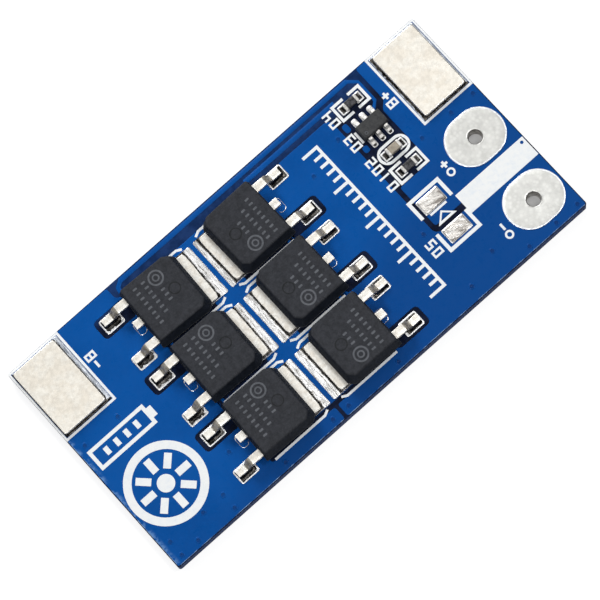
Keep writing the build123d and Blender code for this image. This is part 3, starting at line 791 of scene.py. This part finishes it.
via_places = [
    (-11.4, -11.3), (-5.6, -11.25), (-3.7, -11.25), (2.4, -11.3), (-24.0, 2.2), (-20.0, 2.2),
    (-24.0, -9.7), (-22.0, -11.3), (-20.0, -9.7), (-17.6, -11.3), (-24.0, -11.3), (-17.6, -9.7),
    (18.0, 2.85), (21.6, 2.85), (24.3, 2.85), (18.4, -11.4), (21.7, -11.4), (24.3, -11.4),
    (12.2, 8.0), (12.0, -4.0), (8.2, 6.9), (-14.6, -7.1), (15.6, -9.4), (12.0, -10.6),
]


def tented_vias():
    """Vias under the mask: a low ring round a small dimple."""
    radius = 0.27
    rise = 0.045
    pit_share = 0.62
    turns = 14
    vias = bmesh.new()
    for x, y in via_places:
        loops = []
        for share, level in ((1.35, -0.4), (1.0, 0.55), (0.75, 1.0), (0.45, 0.5), (0.25, 0.1)):
            loops.append(raised(circle(x, y, radius * share, turns), board_top + rise * level))
        add_loft(vias, loops)
        vias.faces.ensure_lookup_table()
        pit = vias.faces[-1].calc_center_median()
        for face in vias.faces[-2 * turns - 2:]:
            if (face.calc_center_median() - pit).length < radius * pit_share:
                face.material_index = 1
    finished(vias, "tented_vias", (mask_copper, mask_pit), sharp_angle=80)


tented_vias()


def coat_packed(node, material):
    """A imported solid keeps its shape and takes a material."""
    mesh = frame["nodes"][node].data
    mesh.materials.clear()
    mesh.materials.append(material)


coat_packed("legend_print", white_ink)


# Battery plates and the solder round them


def battery_plate(name):
    """A punched nickel plate, and the strips of solder that show beside it."""
    node = f"battery_{name}_plate"
    plate_low, plate_high = corners(node)
    outline = rounded_box(plate_low.x, plate_high.x, plate_low.y, plate_high.y, 0.3, 4)
    plate = bmesh.new()
    add_slab(plate, outline, plate_low.z, plate_high.z, 0.06)
    finished(plate, f"{node}_nickel", (nickel,), (node,))

    def surface_at(x, y):
        gap = box_gap(x, y, plate_low, plate_high)
        ridges = 0.02 * wobble(gap * 4 + 0.1 * wobble(x, y, 0.8, 2), 0.15 * (x + y), 0.4, 1)
        uneven = 1 + 0.6 * wobble(x, y, 0.45, 4)
        # Painted shadow beside the plate: widest on its foot side, narrower on its left side, thin
        # elsewhere
        if y < plate_low.y:
            shade_reach = 1
        elif x < plate_low.x:
            shade_reach = 0.2
        else:
            shade_reach = 0.07
        height = 0.05 + ridges - (0.03 if gap < 0.1 else 0)
        return height, dark if gap < shade_reach * uneven else bright

    solder = f"battery_{name}_solder"
    lands = [(*corners(solder), surface_at)]
    solder_piece(solder, "coat", lands, (strip_tin, shaded_solder), 70, corner=0.1, rim=0.05, cell=0.06)


battery_plate("positive")
battery_plate("negative")


# Pack output pads

pad_turns = 72
pad_rim = 0.13
barrel_radius = 0.835
barrel_foot = 0.05
foot_ring_radius = 1.225


def pack_pad(name):
    """An oblong tinned pad with a raised rim round a plated hole."""
    node = f"pack_{name}_pad"
    low, high = corners(node)
    middle = (low + high) / 2
    half_y = high.y - middle.y
    flat = high.x - middle.x - half_y
    hole = frame["record"]["mounts"][0]["dims"]["r_mm"]
    top = high.z
    loops = []
    for share, height in (
        (0.0, 0.03), (0.0, top - 0.1), (0.015, top - 0.05), (0.05, top - 0.02), (0.12, top - 0.035),
        (0.45, top - 0.03), (0.8, top - 0.035), (0.93, top - 0.02), (0.97, top - 0.002), (0.99, top - 0.02),
        (1.0, board_top),
    ):
        loop = []
        for away in circle(0, 0, 1, pad_turns):
            shift = 0 if abs(away.x) < 1e-6 else math.copysign(flat, away.x)
            place = (away * hole).lerp(away * half_y + Vector((shift, 0)), share)
            uneven = 0.012 * wobble(place.x, place.y, 0.6, 3) if 0.1 < share < 0.95 else 0
            loop.append(Vector((middle.x + place.x, middle.y + place.y, height + uneven)))
        loops.append(loop)
    for radius, height in (
        (barrel_radius, board_top), (barrel_radius, barrel_foot), (foot_ring_radius, barrel_foot),
        (foot_ring_radius, 0), (hole, 0),
    ):
        loops.append(raised(circle(middle.x, middle.y, radius, pad_turns), height))
    pad = bmesh.new()
    add_tube(pad, loops)
    for face in pad.faces:
        centre = face.calc_center_median()
        x = abs(centre.x - middle.x)
        y = centre.y - middle.y
        if math.hypot(x, y) < hole + 0.02 and centre.z < top - 0.04:
            face.material_index = 1
        # The rim takes a whiter copy of the tin: painted highlight
        elif half_y - math.hypot(max(x - flat, 0), y) < pad_rim and centre.z > board_top:
            face.material_index = 2
    finished(pad, f"{node}_tinned", (pad_tin, barrel_tin, rim_tin_highlight), (node,), 50)


pack_pad("positive")
pack_pad("negative")


# Power transistors

body_corner_cut = 0.55
body_corner_radius = 0.16
parting_height = 1.2
tab_side_inset = 0.42
lead_side_inset = 0.2
flank_inset = 0.26
top_lean = 0.24
metal_thickness = 0.5
foot_length = 1.2
foot_share = 0.86
slope_run = 0.5
bend_radius = 0.22
stub_width = 0.82
mark_rise = 0.004
ring_root = 0.00004
dash_root = 0.01


def local_frame(name):
    """A transistor's own frame, with X towards its leads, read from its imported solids."""
    gate_low, gate_high = corners(f"{name}_gate_lead")
    source_low, source_high = corners(f"{name}_source_lead")
    across = (source_low + source_high - gate_low - gate_high) / 2
    across.z = 0
    across.normalize()
    turned = Matrix((across.cross(UP), across, UP)).transposed().to_4x4()
    low, high = extent(f"{name}_body", turned)
    middle = turned @ Vector(((low.x + high.x) / 2, (low.y + high.y) / 2, 0))
    middle.z = corners(f"{name}_drain_frame")[0].z
    return Matrix.Translation(middle) @ turned


def body_outline(low, high, back, front, side):
    """The body's outline, moved in by an amount at its tab side, lead side and flanks."""
    x0 = low.x + back
    x1 = high.x - front
    half = high.y - side
    cut = body_corner_cut
    points = [
        (x0 + cut, -half), (x1, -half), (x1, half), (x0 + cut, half), (x0, half - cut), (x0, cut - half),
    ]
    return rounded_polygon(points, body_corner_radius)


def transistor_body(name, local, low, high):
    """The moulded body, with eased edges, a parting line and a top that leans with its flanks."""
    sections = [
        (0, 0, 0.21, 0.21, 0.21),
        (0.05, 0, 0.1536, 0.1536, 0.1536),
        (parting_height - 0.04, 0, 0.02, 0.02, 0.02),
        (parting_height - 0.02, 0, -0.015, -0.015, -0.015),
        (parting_height + 0.02, 0, -0.015, -0.015, -0.015),
        (parting_height + 0.05, 0, 0.03, 0.02, 0.02),
    ]
    for drop, spread in ((0.09, 0.0), (0.05, 0.02), (0.015, 0.055), (0.0, 0.11), (0.0, 0.16)):
        height = high.z - drop
        share = (height - parting_height) / (high.z - parting_height)
        insets = [side * share + spread for side in (tab_side_inset, lead_side_inset, flank_inset)]
        sections.append((height, top_lean * share, *insets))
    loops = []
    for height, lean, *insets in sections:
        outline = raised(body_outline(low, high, *insets), height)
        loops.append([local @ point + Vector((0, lean, 0)) for point in outline])
    body = bmesh.new()
    add_loft(body, loops)
    body.normal_update()
    # The flanks take a darker copy of the moulding: painted shade
    for face in body.faces:
        if abs(face.normal.z) < 0.6:
            face.material_index = 1
    finished(body, f"{name}_moulding", (mould, shaded_mould_flank), (f"{name}_body",), 30)


def add_ring(work, local, middle, outer, line, height, turns=40):
    """A flat ring on a top face."""
    inner = outer - line
    sections = ((outer, -ring_root), (outer, mark_rise), (inner, mark_rise), (inner, -ring_root))
    loops = [raised(circle(*middle, radius, turns), height + rise) for radius, rise in sections]
    add_tube(work, loops, local)


def transistor_marks(name, local, top):
    """Faint laser marks that say nothing: two rings and rows of short dashes, and a dimple."""
    local = Matrix.Translation((0, top_lean - 0.05, 0)) @ local
    dash_length = 0.44
    dash_width = 0.2
    dash_pitch = 0.56
    ring_middle = (-0.45, -1.86)
    marks = bmesh.new()
    add_ring(marks, local, ring_middle, 0.76, 0.17, top)
    add_ring(marks, local, ring_middle, 0.36, 0.14, top)
    for x, count, start in ((-0.3, 3, -0.7), (0.75, 7, -2.35), (1.7, 8, -2.35)):
        for step in range(count):
            y = start + step * dash_pitch
            outline = rounded_box(x - dash_length / 2, x + dash_length / 2, y, y + dash_width, 0.06, 2)
            add_loft(marks, [raised(outline, top - dash_root), raised(outline, top + mark_rise)], local)
    finished(marks, f"{name}_marks", (mould_mark,))
    dimple = bmesh.new()
    add_ring(dimple, local, (-1.2, 0.0), 0.6, 0.12, top)
    finished(dimple, f"{name}_dimple", (mould_dimple,))


def transistor_lead(node, local, body_front, seed):
    """An outer lead: a raised shoulder, a slope and a flat foot, sheared at its tip.

    It gives the lead's middle line and the surface of the solder round its foot."""
    low, high = extent(node, local)
    middle = (low.y + high.y) / 2
    shoulder = high.z - metal_thickness / 2
    foot = low.z + metal_thickness / 2
    slope_end = high.x - foot_length
    slope_start = slope_end - slope_run
    points = [
        (body_front - 0.6, shoulder), (slope_start + 0.04, shoulder),
        (slope_end + 0.06, foot), (high.x, foot),
    ]
    path = bent_path(points, bend_radius)
    width = high.y - low.y
    narrowing = width * (foot_share - 1)
    widths = [width + narrowing * eased_step(point.x, slope_start, slope_end) for point in path]
    lead = bmesh.new()
    add_strip(lead, path, widths, middle, metal_thickness, local)
    lead.normal_update()
    inverse = local.inverted()
    # The slope's side faces take a darker copy of the tin: painted shade
    for face in lead.faces:
        centre = inverse @ face.calc_center_median()
        if slope_start < centre.x < slope_end + 0.02 and abs(face.normal.z) < 0.93:
            face.material_index = 1
    finished(lead, f"{node}_tinned", (tin, shaded_tin_slope), (node,), 50)
    half = width * foot_share / 2
    foot_low = Vector((slope_end - 0.1, middle - half))
    foot_high = Vector((high.x, middle + half))
    return middle, foot_surface(inverse, foot_low, foot_high, 0.4, seed)


def drain_frame(node, local, body_low, body_high):
    """The tab outside the body, worn along its edge, and the middle lead's stub."""
    low, high = extent(node, local)
    inner_x = body_low.x + 0.6
    steps = 14
    points = [(inner_x, low.y), (inner_x, high.y)]
    for step in range(steps + 1):
        y = high.y - (high.y - low.y) * step / steps
        worn = 0.035 * wobble(y, low.x, 0.5, local.translation.x + local.translation.y)
        points.append((low.x + 0.03 + worn + (0.12 if step in (0, steps) else 0), y))
    tab = bmesh.new()
    outline = rounded_polygon(anticlockwise(points), 0.08, 2)
    add_slab(tab, outline, low.z, low.z + metal_thickness, 0.05, local)
    stub_middle = high.z - metal_thickness / 2
    path = [Vector((body_high.x - 0.5, stub_middle)), Vector((high.x, stub_middle))]
    add_strip(tab, path, (stub_width, stub_width), 0, metal_thickness, local)
    finished(tab, f"{node}_tinned", (tin,), (node,), 50)


def tab_surface(inverse, tab_low, seed):
    """The solder beside a tab: painted shade in the seam, dark and then grey, then a bright strip with
    streaks along the tab and a grey crease of painted shade.
    """

    def surface_at(x, y):
        place = inverse @ Vector((x, y, 0))
        gap = tab_low.x - place.x + 0.03 * wobble(place.y, 0, 0.35, seed)
        climb = 0.3 * math.exp(-max(gap, 0) / 0.06)
        height = 0.055 + climb + 0.025 * wobble(gap * 4, place.y * 0.4, 0.5, seed + 2)
        shade_reach = 0.13 + 0.09 * wobble(place.y, 1, 0.45, seed + 1)
        # Painted shade: dark in the seam by the tab, then grey beside it and in a crease
        if gap < shade_reach:
            return height, dark
        half_shade_reach = shade_reach + 0.07 + 0.16 * wobble(place.y, 3, 0.6, seed + 3)
        crease_place = 0.42 + 0.1 * wobble(place.y, 5, 0.7, seed)
        in_crease = abs(gap - crease_place) < 0.05 + 0.06 * wobble(place.y, 9, 0.8, seed)
        return height, grey if gap < half_shade_reach or in_crease else seam

    return surface_at


# The lands: how long the tab's is at least, how far the stub's may lie from the middle line,
# and each kind's corner radius and rim
tab_land_length = 3
stub_land_reach = 0.8
tab_land_shape = (0.12, 0)
stub_land_shape = (0.36, 0.1)
foot_land_shape = (0.26, rim_width)


def transistor_solder(name, local, feet, tab_low, seed):
    """Solder on the four lands: beside the tab, round the feet and under the cut lead."""
    node = f"{name}_solder"
    inverse = local.inverted()
    lands = []
    for low, high in island_boxes(node):
        middle = (low + high) / 2
        centre = inverse @ Vector((middle.x, middle.y, 0))
        if high.x - low.x > tab_land_length:
            lands.append((low, high, tab_surface(inverse, tab_low, seed), *tab_land_shape))
        elif abs(centre.y) < stub_land_reach:
            stub_low = Vector((centre.x - 0.4, -0.35))
            stub_high = Vector((centre.x + 0.1, 0.35))
            surface_at = foot_surface(inverse, stub_low, stub_high, 0.06, seed, 2.0, coated)
            low = low + Vector((0.1, 0.15, 0))
            high = high - Vector((0.1, 0, 0))
            lands.append((low, high, surface_at, *stub_land_shape))
        else:
            surface_at = min(feet, key=lambda foot: abs(foot[0] - centre.y))[1]
            lands.append((low, high, surface_at, *foot_land_shape))
    materials = (bright_solder, shaded_solder, half_shaded_solder, seam_solder, mask_copper)
    solder_piece(node, "fillets", lands, materials)


for number in range(1, 7):
    name = f"transistor_{number}"
    local = local_frame(name)
    body_low, body_high = extent(f"{name}_body", local)
    transistor_body(name, local, body_low, body_high)
    transistor_marks(name, local, body_high.z)
    leads = [f"{name}_{role}_lead" for role in ("gate", "source")]
    feet = [transistor_lead(lead, local, body_high.x, number) for lead in leads]
    drain_frame(f"{name}_drain_frame", local, body_low, body_high)
    tab_low = extent(f"{name}_drain_frame", local)[0]
    transistor_solder(name, local, feet, tab_low, number)
    coat_packed(f"{name}_die", silicon)


# Controller

controller_metal = 0.15
controller_foot_length = 0.45
controller_foot_half = 0.2
controller_parting = 0.5


def controller():
    """The six-lead controller: body, bent leads and their solder."""
    low, high = corners("controller_body")
    middle = (low + high) / 2
    parting = corners("controller_leads")[0].z + controller_parting
    loops = []
    for height, spread in (
        (low.z, 0.12), (low.z + 0.03, 0.08), (parting, 0.0), (parting + 0.03, 0.0),
        (high.z - 0.07, 0.08), (high.z - 0.02, 0.1), (high.z, 0.15), (high.z, 0.2),
    ):
        outline = rounded_box(low.x + spread, high.x - spread, low.y + spread, high.y - spread, 0.1)
        loops.append(raised(outline, height))
    body = bmesh.new()
    add_loft(body, loops)
    finished(body, "controller_moulding", (small_mould,), ("controller_body",), 30)
    dot = bmesh.new()
    add_ring(dot, None, (low.x + 0.5, low.y + 0.45), 0.17, 0.06, high.z, 20)
    finished(dot, "controller_dot", (mould_mark,))

    leads = bmesh.new()
    feet = []
    start = (high.y - low.y) / 2
    for lead_low, lead_high in island_boxes("controller_leads"):
        side = 1 if lead_low.y > middle.y else -1
        tip = Vector(((lead_low.x + lead_high.x) / 2, lead_high.y if side > 0 else lead_low.y))
        shoulder = lead_high.z - controller_metal / 2
        foot = lead_low.z + controller_metal / 2
        points = [
            (start - 0.2, shoulder), (start + 0.2, shoulder),
            (start + 0.3, foot), (abs(tip.y - middle.y), foot),
        ]
        path = bent_path(points, 0.08, 3)
        widths = [lead_high.x - lead_low.x] * len(path)
        place = Matrix(((0, -1, 0, tip.x), (side, 0, 0, middle.y), (0, 0, 1, 0), (0, 0, 0, 1)))
        add_strip(leads, path, widths, 0, controller_metal, place, 0.04)
        ends = sorted((tip.y, tip.y - side * controller_foot_length))
        foot_low = Vector((tip.x - controller_foot_half, ends[0]))
        foot_high = Vector((tip.x + controller_foot_half, ends[1]))
        # Painted shade round the feet only on the leads of the lower side, where the shade falls
        hollow = 0 if side > 0 else 0.5
        feet.append((tip, foot_surface(Matrix(), foot_low, foot_high, 0.16, 9, hollow)))
    finished(leads, "controller_leads_tinned", (end_cap_tin,), ("controller_leads",), 50)

    lands = []
    for land in island_boxes("controller_solder"):
        centre = (land[0] + land[1]).to_2d() / 2
        lands.append((*land, min(feet, key=lambda foot: (foot[0] - centre).length)[1]))
    solder_piece("controller_solder", "fillets", lands, corner=0.2, rim=0.13, cell=0.04)


controller()


# Chip parts


def chip(name, body_material):
    """A chip part: ceramic body, wrapped end caps and a fillet of solder at each end."""
    body_low, body_high = corners(f"{name}_body")
    caps_low, caps_high = corners(f"{name}_end_caps")
    cap_length = body_low.x - caps_low.x
    under_cap = 0.05
    body = bmesh.new()
    outline = rounded_box(
        body_low.x - under_cap, body_high.x + under_cap, body_low.y, body_high.y, 0.04, 2
    )
    add_slab(body, outline, body_low.z, body_high.z, 0.04)
    finished(body, f"{name}_ceramic", (body_material,), (f"{name}_body",))
    caps = bmesh.new()
    for low_x in (caps_low.x, caps_high.x - cap_length):
        outline = rounded_box(low_x, low_x + cap_length, caps_low.y, caps_high.y, 0.09)
        add_slab(caps, outline, caps_low.z, caps_high.z, 0.07)
    finished(caps, f"{name}_end_caps_tinned", (end_cap_tin,), (f"{name}_end_caps",), 50)
    climb = 0.7 * (caps_high.z - caps_low.z)
    surface_at = foot_surface(Matrix(), caps_low, caps_high, climb, 11)
    lands = [(*land, surface_at) for land in island_boxes(f"{name}_solder")]
    solder_piece(f"{name}_solder", "fillets", lands, corner=0.1, cell=0.04)


chip("resistor_1", glaze)
chip("resistor_2", glaze)
chip("capacitor_1", capacitor_ceramic)


# Empty diode lands


def dragged_surface(seed):
    """A swollen coat with ridges where it was dragged."""

    def surface_at(x, y):
        along = x * 0.82 - y * 0.57
        across = x * 0.57 + y * 0.82
        drag = wobble(across + 0.2 * wobble(x, y, 0.8, seed), along * 0.3, 0.5, seed + 20)
        return 0.1 + 0.05 * drag + 0.01 * wobble(x, y, 0.2, seed + 21), dark

    return surface_at


def diode_coat():
    """A thick, dragged coat of solder on each land."""
    lands = [(*land, dragged_surface(index * 5)) for index, land in enumerate(island_boxes("diode_lands"))]
    solder_piece("diode_lands", "coat", lands, (bright_solder, drag_solder), rim=0.12, cell=0.05)


diode_coat()


# Floor, lamps, world and camera. Their places are in metres

white = (1, 1, 1, 1)
paper_grey = (0.45, 0.45, 0.45, 1)
floor_half = 1.5
floor_gap = 0.02 * MM
covered_margin = 1.0 * MM
floor_glow = 0.74
painted_shadow_glow = 0.17


def floor_surface(name, glow):
    """White paper that stays white to the camera and still shows a shadow."""
    material = bpy.data.materials.new(name)
    nodes = Nodes(material, "OutputMaterial")
    paper = nodes.add("BsdfDiffuse", {"Color": paper_grey})
    seen = nodes.rays("Is Camera Ray", "Is Glossy Ray", "Is Transmission Ray")
    strength = nodes.add("Math", {0: seen, 1: glow}, operation="MULTIPLY")
    light = nodes.add("Emission", {"Color": white, "Strength": strength.outputs[0]})
    nodes.show(nodes.add("AddShader", {0: paper.outputs[0], 1: light.outputs[0]}))
    return material


def make_floor():
    """A plain white floor that keeps the object's shadow, with a painted shadow where the board covers it,
    seen through the pads' holes.
    """
    covered_x = board_end * MM - covered_margin
    covered_y = board_edge * MM - covered_margin
    places = []
    for reach_x, reach_y in ((floor_half, floor_half), (covered_x, covered_y)):
        outline = rectangle(-reach_x, reach_x, -reach_y, reach_y)
        places += [(x, y, -floor_gap) for x, y in outline]
    faces = [(4, 5, 6, 7)]
    for index in range(4):
        after = (index + 1) % 4
        faces.append((index, after, after + 4, index + 4))
    mesh = bpy.data.meshes.new("floor")
    mesh.from_pydata(places, [], faces)
    floor = linked("floor", mesh)
    mesh.materials.append(floor_surface("floor", floor_glow))
    mesh.materials.append(floor_surface("floor_under_board", painted_shadow_glow))
    mesh.polygons[0].material_index = 1


def make_world():
    """White to the camera, and a soft studio to everything else, brighter towards the lamp."""
    world = bpy.data.worlds.new("studio")
    bpy.context.scene.world = world
    nodes = Nodes(world, "OutputWorld")
    lamp_side = Vector((0.1, 0.5, 0.86)).normalized()
    place = nodes.add("TexCoord").outputs["Generated"]
    strength = nodes.along(place, lamp_side, 0.02, 0.6, 0.1, 0.9)
    soft = nodes.add("Background", {"Strength": strength})
    plain = nodes.add("Background", {"Color": white, "Strength": 1})
    sockets = {"Fac": nodes.rays("Is Camera Ray"), 1: soft.outputs[0], 2: plain.outputs[0]}
    nodes.show(nodes.add("MixShader", sockets))


def make_lamp(name, place, size, power):
    """A round lamp that faces the board."""
    data = bpy.data.lights.new(name, "AREA")
    data.shape = "DISK"
    data.size = size
    data.energy = power
    lamp = linked(name, data)
    lamp.location = place
    lamp.rotation_euler = (-Vector(place)).to_track_quat("-Z", "Y").to_euler()


def make_camera():
    """The camera that was fitted to the photograph."""
    place = Vector((-25.07, -60.38, 300.93 + board_top)) * MM
    forward = Vector((0.07997, 0.19319, -0.97790))
    up = Vector((0.66119, 0.72387, 0.19708))
    focal_pixels = 3358.6
    photo_width = 600
    data = bpy.data.cameras.new("camera")
    data.sensor_width = 36
    data.lens = focal_pixels / photo_width * data.sensor_width
    data.clip_start = 0.01
    data.clip_end = 10
    camera = linked("camera", data)
    back = -forward.normalized()
    right = up.cross(back).normalized()
    turn = Matrix((right, back.cross(right), back)).transposed().to_4x4()
    camera.matrix_world = Matrix.Translation(place) @ turn
    bpy.context.scene.camera = camera


make_floor()
make_world()
make_lamp("key", (0.08, 0.34, 0.26), 0.2, 0.76)
make_lamp("fill_left", (-0.14, -0.06, 0.37), 0.1, 0.32)
make_lamp("fill_right", (0.14, -0.06, 0.37), 0.1, 0.32)
make_camera()

bpy.context.scene.view_settings.view_transform = "Standard"
